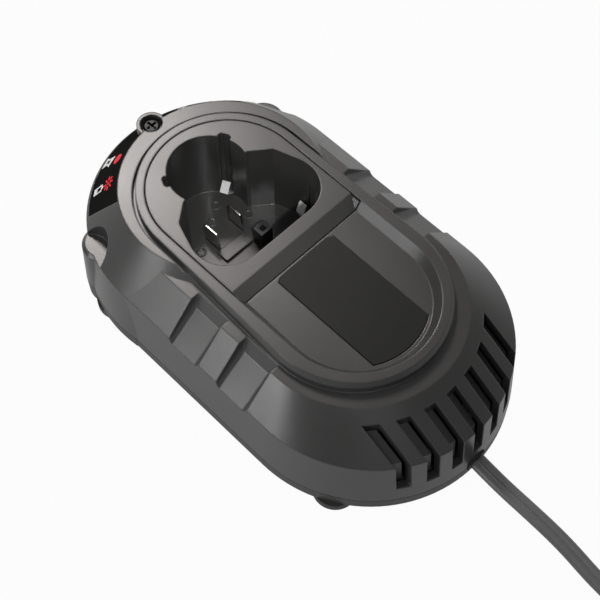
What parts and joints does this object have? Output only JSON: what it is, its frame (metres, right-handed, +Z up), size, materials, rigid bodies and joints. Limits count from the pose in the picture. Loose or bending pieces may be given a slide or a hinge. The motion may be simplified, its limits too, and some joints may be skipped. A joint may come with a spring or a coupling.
{
  "type": "battery charger",
  "caption": "Desktop charger for slim post-shaped tool batteries: three-lobed well, flush indicator windows, finger grips, air slots, flat mains lead, coil and plug.",
  "frame": {"origin": "bottom centre of the charger itself, without its mains lead, coil and plug; the feet stand on Z = 0", "axes": "+X from the indicator end towards the end the lead leaves at, +Z up, +Y completes the right-handed frame"},
  "size_m": [0.2759, 0.1337, 0.0407],
  "materials": {
    "upper_housing": "fine texture, dark warm grey",
    "lower_housing": "fine texture, dark warm grey",
    "battery_cup": "fine texture, near black",
    "label_plate": "bare dark label",
    "indicator_window_left": "smoked, polished",
    "indicator_window_right": "smoked, polished",
    "vent_baffle": "fine texture",
    "top_screw": "zinc plated",
    "case_screws": "zinc plated",
    "foot_front_left": "matt",
    "foot_front_right": "matt",
    "foot_rear_left": "matt",
    "foot_rear_right": "matt",
    "circuit_board": "solder resist over glass-filled resin",
    "board_screws": "zinc plated",
    "terminal_holder": "moulded",
    "contact_blade_positive": "nickel plated",
    "contact_blade_negative": "nickel plated",
    "sensor_socket": "moulded",
    "keyway_clip_left": "nickel plated",
    "keyway_clip_right": "nickel plated",
    "signal_spring_left": "nickel plated",
    "signal_spring_right": "nickel plated",
    "led_board": "solder resist over glass-filled resin",
    "status_leds": "tinted, polished",
    "transformer_core": "sintered ferrite",
    "transformer_winding": "tape wound",
    "mains_capacitor": "sleeved",
    "output_capacitor": "sleeved",
    "heatsink": "extruded",
    "power_transistor": "moulded",
    "choke": "enamelled wire",
    "suppressor_capacitor": "moulded case",
    "fuse": "moulded",
    "controller_chip": "moulded",
    "mains_terminal": "moulded",
    "mains_cores": "insulated wire",
    "strain_relief": "moulded",
    "cord_clamp": "moulded",
    "clamp_screws": "zinc plated",
    "mains_cord": "flat twin cord, satin",
    "cord_coil": "flat twin cord, satin",
    "cord_tail": "flat twin cord, satin",
    "plug_body": "moulded on the cord",
    "plug_pins": "nickel plated, sleeved at the root"
  },
  "bodies": {
    "root": {"upper_housing": "upper_housing", "lower_housing": "lower_housing", "battery_cup": "battery_cup", "label_plate": "label_plate", "indicator_window_left": "indicator_window_left", "indicator_window_right": "indicator_window_right", "vent_baffle": "vent_baffle", "top_screw": "top_screw", "case_screws": "case_screws", "foot_front_left": "foot_front_left", "foot_front_right": "foot_front_right", "foot_rear_left": "foot_rear_left", "foot_rear_right": "foot_rear_right", "circuit_board": "circuit_board", "board_screws": "board_screws", "terminal_holder": "terminal_holder", "contact_blade_positive": "contact_blade_positive", "contact_blade_negative": "contact_blade_negative", "sensor_socket": "sensor_socket", "keyway_clip_left": "keyway_clip_left", "keyway_clip_right": "keyway_clip_right", "signal_spring_left": "signal_spring_left", "signal_spring_right": "signal_spring_right", "led_board": "led_board", "status_leds": "status_leds", "transformer_core": "transformer_core", "transformer_winding": "transformer_winding", "mains_capacitor": "mains_capacitor", "output_capacitor": "output_capacitor", "heatsink": "heatsink", "power_transistor": "power_transistor", "choke": "choke", "suppressor_capacitor": "suppressor_capacitor", "fuse": "fuse", "controller_chip": "controller_chip", "mains_terminal": "mains_terminal", "mains_cores": "mains_cores", "strain_relief": "strain_relief", "cord_clamp": "cord_clamp", "clamp_screws": "clamp_screws", "mains_cord": "mains_cord", "cord_coil": "cord_coil", "cord_tail": "cord_tail", "plug_body": "plug_body", "plug_pins": "plug_pins"}
  },
  "joints": []
}
